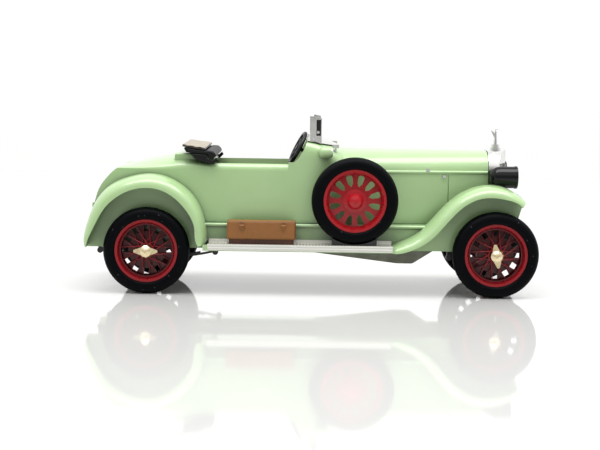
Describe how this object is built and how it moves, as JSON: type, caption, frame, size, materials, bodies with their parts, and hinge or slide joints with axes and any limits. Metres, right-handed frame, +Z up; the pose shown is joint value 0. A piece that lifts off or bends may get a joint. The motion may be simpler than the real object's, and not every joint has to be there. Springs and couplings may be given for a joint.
{
  "type": "diecast collector car",
  "caption": "Scale diecast open two-seat roadster with laced wire wheels, running boards, folded soft top, side spare wheel and luggage box; both axles roll.",
  "frame": {"origin": "centre of the bounding box on the ground plane under the tyres", "axes": "+X forward along the car, +Y to the car's left, +Z up"},
  "size_m": [0.1147, 0.0412, 0.0456],
  "materials": {
    "mint_paint": "gloss",
    "black_chassis": "satin",
    "grey_metal": "satin",
    "red_plastic": "gloss",
    "tyre_black": "matte",
    "bright_plating": "polished",
    "brass_plating": "polished",
    "steel": "satin",
    "black_plastic": "satin",
    "brown_plastic": "satin",
    "hood_black": "matte",
    "hood_taupe": "matte",
    "interior_leather": "satin",
    "clear_glass": "clear",
    "lamp_red": "gloss"
  },
  "bodies": {
    "car": {"baseplate_screws": "steel", "body_shell": "mint_paint", "bonnet_catches": "bright_plating", "chassis_plate": "black_chassis", "dashboard": "black_plastic", "engine_undertray": "grey_metal", "exhaust_pipe": "grey_metal", "hand_levers": "black_plastic", "headlamp_brackets": "black_chassis", "headlamp_buckets": "black_chassis", "headlamp_lenses": "clear_glass", "headlamp_rims": "bright_plating", "hood_bag": "hood_black", "hood_bag_ends": "hood_black", "hood_fabric": "hood_taupe", "interior_tub": "interior_leather", "leaf_springs": "black_chassis", "luggage_box": "brown_plastic", "luggage_box_base": "brown_plastic", "luggage_clasps": "brown_plastic", "number_plate_blank": "black_plastic", "radiator_cap_figure": "bright_plating", "radiator_core": "black_plastic", "radiator_shell": "bright_plating", "running_board_mats": "bright_plating", "scuttle_plate": "bright_plating", "scuttle_wing_nuts": "bright_plating", "seat_back": "interior_leather", "seat_cushion": "interior_leather", "side_lamp_fronts": "bright_plating", "side_lamps": "mint_paint", "spare_cradle": "black_chassis", "spare_hub_nut": "red_plastic", "spare_rim": "red_plastic", "spare_stud": "steel", "spare_tyre": "tyre_black", "steering_column": "black_plastic", "steering_wheel": "black_plastic", "tail_lamp": "lamp_red", "windscreen_frame": "bright_plating", "windscreen_glass": "clear_glass", "windscreen_posts": "bright_plating", "wing_casting_left": "mint_paint", "wing_casting_right": "mint_paint"},
    "front_wheelset": {"front_axle": "steel", "front_hub_caps": "brass_plating", "front_rim_left": "red_plastic", "front_rim_right": "red_plastic", "front_spokes_left": "red_plastic", "front_spokes_right": "red_plastic", "front_tyre_left": "tyre_black", "front_tyre_right": "tyre_black"},
    "rear_wheelset": {"rear_axle": "steel", "rear_hub_caps": "brass_plating", "rear_rim_left": "red_plastic", "rear_rim_right": "red_plastic", "rear_spokes_left": "red_plastic", "rear_spokes_right": "red_plastic", "rear_tyre_left": "tyre_black", "rear_tyre_right": "tyre_black"}
  },
  "joints": [
    {"name": "front_wheelset_spin", "type": "hinge", "parent": "car", "child": "front_wheelset", "pos_m": [0.0464, 0, 0.0109], "axis": [0, 1, 0], "continuous": true},
    {"name": "rear_wheelset_spin", "type": "hinge", "parent": "car", "child": "rear_wheelset", "pos_m": [-0.0414, 0, 0.0109], "axis": [0, 1, 0], "continuous": true}
  ]
}
